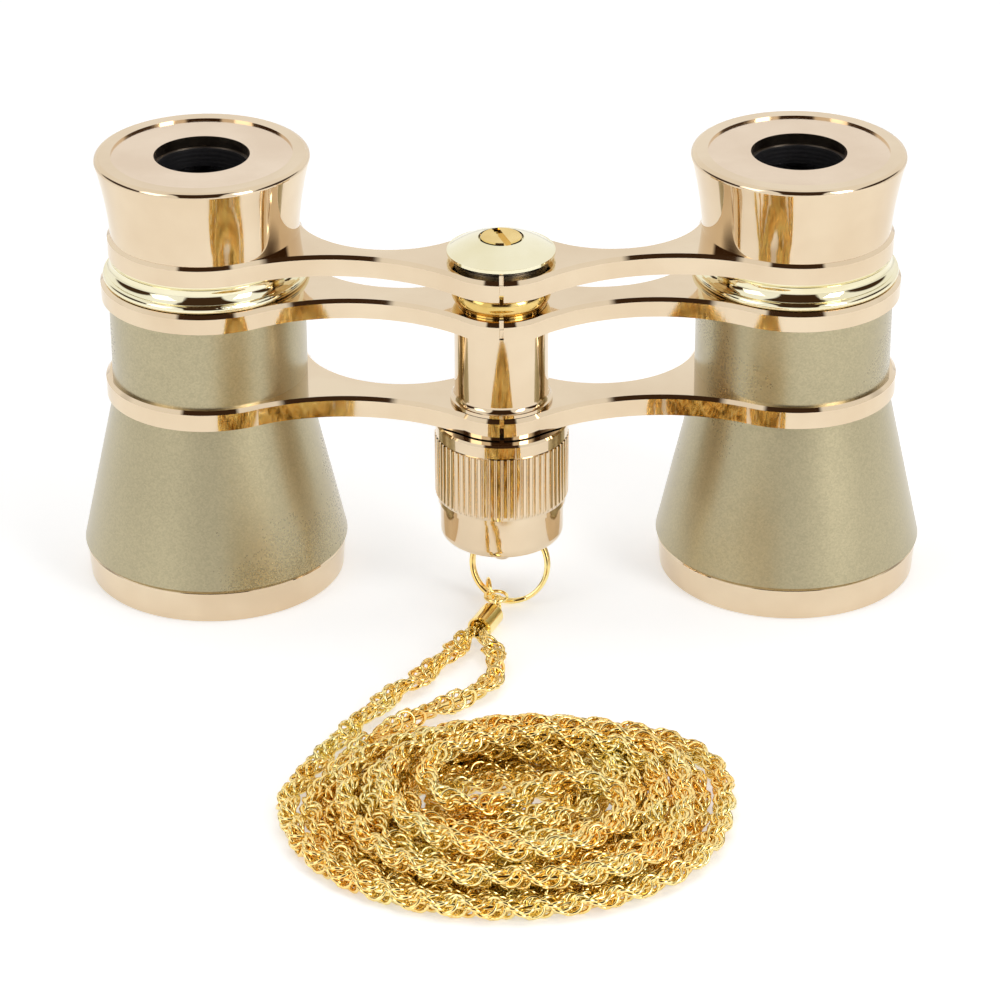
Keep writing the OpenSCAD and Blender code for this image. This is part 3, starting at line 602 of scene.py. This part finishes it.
roseSetup = {
    "deep": (0.72, 0.57, 0.39, 1), "light": (0.785, 0.645, 0.46, 1), "roughness": (0.035, 0.075),
    "filmScale": 90, "grainScale": 2600, "lineScale": 2400, "lineRough": 0.03, "lineDepth": 0.7, "bump": 0.12,
}
satinSetup = {
    "deep": (0.73, 0.575, 0.42, 1), "light": (0.81, 0.66, 0.50, 1), "roughness": (0.13, 0.2),
    "filmScale": 110, "grainScale": 2600, "lineScale": 3600, "lineRough": 0.1, "lineDepth": 2.0, "bump": 0.35,
}
paleSetup = {
    "deep": (0.82, 0.75, 0.50, 1), "light": (0.92, 0.87, 0.66, 1), "roughness": (0.03, 0.07),
    "filmScale": 100, "grainScale": 2600, "lineScale": 2800, "lineRough": 0.04, "lineDepth": 0.9,
    "bump": 0.12,
}
goldenSetup = {
    "deep": (0.70, 0.48, 0.14, 1), "light": (0.86, 0.64, 0.25, 1), "roughness": (0.08, 0.16),
    "filmScale": 220, "grainScale": 3000, "lineScale": 3000, "lineRough": 0.06, "lineDepth": 1.2, "bump": 0.2,
}
chainGoldSetup = {
    "deep": (1.0, 0.70, 0.24, 1), "light": (1.0, 0.86, 0.40, 1), "roughness": (0.06, 0.13),
    "filmScale": 160, "grainScale": 4200, "bump": 0.15,
}
darkSteelSetup = {
    "deep": (0.10, 0.095, 0.09, 1), "light": (0.19, 0.18, 0.17, 1), "roughness": (0.28, 0.42),
    "filmScale": 200, "grainScale": 3200, "lineScale": 2600, "lineRough": 0.1, "lineDepth": 1.5, "bump": 0.3,
}
brightSteelSetup = {
    "deep": (0.50, 0.49, 0.46, 1), "light": (0.68, 0.67, 0.64, 1), "roughness": (0.18, 0.28),
    "filmScale": 200, "grainScale": 3200, "lineScale": 2600, "lineRough": 0.08, "lineDepth": 1.5, "bump": 0.3,
}

lacquerSetup = {
    "deep": (0.375, 0.325, 0.195, 1), "light": (0.54, 0.47, 0.285, 1), "flakeScale": 5200, "cloudScale": 45,
    "roughness": (0.24, 0.34), "metallic": (0.7, 0.95), "bump": 0.02,
}


def champagneLacquer(name, setup):
    material, board, surface = makeMaterial(name, Coat_Roughness=0.3, Coat_IOR=1.5)
    place = board.place()
    flake = board.node("ShaderNodeTexVoronoi", {}, {"Vector": place, "Scale": setup["flakeScale"]}, "Color")
    spark = board.node("ShaderNodeSeparateColor", {}, {0: flake}, 0)
    cloud = board.noise(place, setup["cloudScale"], 3.0)
    share = spark * 0.55 + board.between(cloud, 0.0, 0.45, 0.3, 0.7)
    board.put(surface.inputs["Base Color"], board.blend(share, setup["deep"], setup["light"]))
    board.put(surface.inputs["Metallic"], board.between(spark, *setup["metallic"]))
    board.put(surface.inputs["Roughness"], board.between(cloud, *setup["roughness"], 0.3, 0.7) + spark * 0.05)
    board.put(surface.inputs["Coat Weight"], board.between(cloud, 0.45, 0.6, 0.3, 0.7))
    board.put(surface.inputs["Normal"], board.bump(spark, setup["bump"]))
    return material


blackSetup = {
    "deep": (0.008, 0.008, 0.009, 1), "light": (0.022, 0.021, 0.024, 1), "grainScale": 3200,
    "roughness": (0.42, 0.62), "threadRate": 11000, "bump": 0.5, "bumpDepth": 0.00004,
}


def blackAnodised(name, setup):
    material, board, surface = makeMaterial(name, Specular_IOR_Level=0.35)
    grain = board.noise(board.place(), setup["grainScale"], 3.0)
    height = board.roundAxis("eye")[1]
    thread = board.calc("SINE", height * setup["threadRate"])
    board.put(surface.inputs["Base Color"], board.blend(grain, setup["deep"], setup["light"]))
    board.put(surface.inputs["Roughness"], board.between(grain, *setup["roughness"]))
    rise = thread * 0.5 + grain * 0.3
    board.put(surface.inputs["Normal"], board.bump(rise, setup["bump"], setup["bumpDepth"]))
    return material


glassSetup = {
    "middle": (0.90, 0.93, 0.97, 1), "edge": (0.80, 0.82, 0.92, 1),
    "edgeFrom": (0.004, 0.014),  # m from the axis
    "dustScale": 900, "roughness": (0.0, 0.05),
}


def opticalGlass(name, setup):
    material, board, surface = makeMaterial(name, Transmission_Weight=1.0, IOR=1.52)
    dust = board.noise(board.place(), setup["dustScale"], 4.0, 0.7)
    distance = board.roundAxis("eye")[0]
    edge = board.between(distance, 0.0, 1.0, *setup["edgeFrom"])
    board.put(surface.inputs["Base Color"], board.blend(edge, setup["middle"], setup["edge"]))
    board.put(surface.inputs["Roughness"], board.between(dust, *setup["roughness"], 0.55, 0.8))
    return material


finishes = {
    "rosePlain": metal("rose_gold_polished", roseSetup),
    "roseEye": metal("rose_gold_turned_on_eye_axis", roseSetup, "eye"),
    "roseHinge": metal("rose_gold_turned_on_hinge_axis", roseSetup, "hinge"),
    "satin": metal("rose_gold_satin", satinSetup, "eye"),
    "paleEye": metal("pale_brass_turned_on_eye_axis", paleSetup, "eye"),
    "paleHinge": metal("pale_brass_turned_on_hinge_axis", paleSetup, "hinge"),
    "golden": metal("golden_brass", goldenSetup, "hinge"),
    "chain": metal("chain_gold", chainGoldSetup),
    "darkSteel": metal("blackened_steel", darkSteelSetup, "hinge"),
    "brightSteel": metal("bright_steel", brightSteelSetup, "hinge"),
    "lacquer": champagneLacquer("champagne_lacquer", lacquerSetup),
    "black": blackAnodised("black_anodised", blackSetup),
    "glass": opticalGlass("optical_glass", glassSetup),
}

wears = {
    "hinge_column": "roseHinge", "hinge_collar": "golden", "screw_bearing": "darkSteel",
    "lift_key": "brightSteel", "swivel_eye": "roseHinge", "lift_tube": "paleHinge",
    "friction_washer": "darkSteel", "hinge_cap": "paleHinge", "cap_screw": "golden",
    "focus_knob": "roseHinge", "focus_screw": "brightSteel", "split_ring": "chain",
    "ring_link": "chain", "cap_link": "chain", "chain_end_cap": "chain",
    "chain_heap": "chain", "chain_strand_left": "chain", "chain_strand_right": "chain",
    "lower_arm": "rosePlain", "middle_arm": "rosePlain", "upper_arm": "rosePlain", "barrel": "lacquer",
    "guide_ring": "paleEye", "housing": "lacquer", "foot_ring": "roseEye", "objective": "glass",
    "objective_retainer": "black", "eyecup": "roseEye", "eyeplate": "satin", "eye_tube": "paleEye",
    "eye_lens": "glass", "eye_liner": "black",
}

for nodeName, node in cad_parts.items():
    plain = nodeName.removeprefix("left_").removeprefix("right_")
    for held in node.material_slots:
        held.material = finishes[wears[plain]]
for piece in (chain, splitRing):
    piece.data.materials.append(finishes["chain"])
print("finishes given")

studioSetup = {
    "ambient": 0.45,
    "gapInFront": (0.33, 0.38),  # as far to the side as this, the wall in front is dark
    "frontEnds": (-0.16, -0.04),
    "sideWalls": (0.8, 0.86),  # and from here outwards
    "darkAbove": (0.05, 0.12),  # from this height up
    "darkWall": (0.05, 0.026, 0.013, 1),
    "lamps": [  # name, place in m, width and depth in m, watts
        ("top", (0.0, 0.05, 0.75), (0.8, 0.6), 2.4),
        ("left", (-0.62, -0.44, 0.42), (0.34, 0.5), 0.8),
        ("right", (0.56, -0.53, 0.4), (0.26, 0.5), 2.2),
    ],
    "aimedAt": (0, -0.02, 0.03),  # m
    "floorReach": 3000,
    "floorColour": (0.8, 0.8, 0.8, 1),
    "floorGlow": 0.45,
}
white = (1, 1, 1, 1)


def seenRays(board):
    ways = ("Is Camera Ray", "Is Glossy Ray", "Is Transmission Ray")
    camera, glossy, through = (board.node("ShaderNodeLightPath", {}, {}, way) for way in ways)
    return board.calc("MINIMUM", camera + glossy + through, 1.0)


def makeStudio(spec):
    for name, place, size, watts in spec["lamps"]:
        data = bpy.data.lights.new(name, "AREA")
        data.shape = "RECTANGLE"
        data.size, data.size_y = size
        data.energy = watts
        lamp = bpy.data.objects.new(name, data)
        lamp.location = place
        lamp.visible_glossy = name != "top"  # the ceiling lamp lights and isn't mirrored
        towards = Vector(spec["aimedAt"]) - Vector(place)
        lamp.rotation_euler = towards.to_track_quat("-Z", "Y").to_euler()
        bpy.context.scene.collection.objects.link(lamp)
    world = bpy.data.worlds.new("studio")
    bpy.context.scene.world = world
    world.use_nodes = True
    board = Board(world.node_tree)
    background = world.node_tree.nodes["Background"]
    direction = board.node("ShaderNodeTexCoord", {}, {}, "Generated")
    across, back, height = (board.node("ShaderNodeSeparateXYZ", {}, {0: direction}, k) for k in range(3))
    aside = board.calc("ABSOLUTE", across)
    gap = board.between(aside, 1.0, 0.0, *spec["gapInFront"])
    gap = gap * board.between(back, 1.0, 0.0, *spec["frontEnds"])
    sides = board.between(aside, 0.0, 1.0, *spec["sideWalls"])
    above = board.between(height, 0.0, 1.0, *spec["darkAbove"])
    dark = board.calc("MINIMUM", gap + sides, 1.0) * above
    board.put(background.inputs["Color"], board.blend(dark, white, spec["darkWall"]))
    seen = seenRays(board)
    board.put(background.inputs["Strength"], seen * (1 - spec["ambient"]) + spec["ambient"])
    reach = spec["floorReach"]
    corners = [(-reach, -reach), (reach, -reach), (reach, reach), (-reach, reach)]
    floor = meshPiece("floor", [Vector((x, y, 0)) for x, y in corners], [(0, 1, 2, 3)])
    material, board, surface = makeMaterial("floor_white", Roughness=1.0, Specular_IOR_Level=0.0)
    surface.inputs["Base Color"].default_value = spec["floorColour"]
    surface.inputs["Emission Color"].default_value = white
    board.put(surface.inputs["Emission Strength"], seenRays(board) * spec["floorGlow"])
    floor.data.materials.append(material)


makeStudio(studioSetup)
print("studio lit")
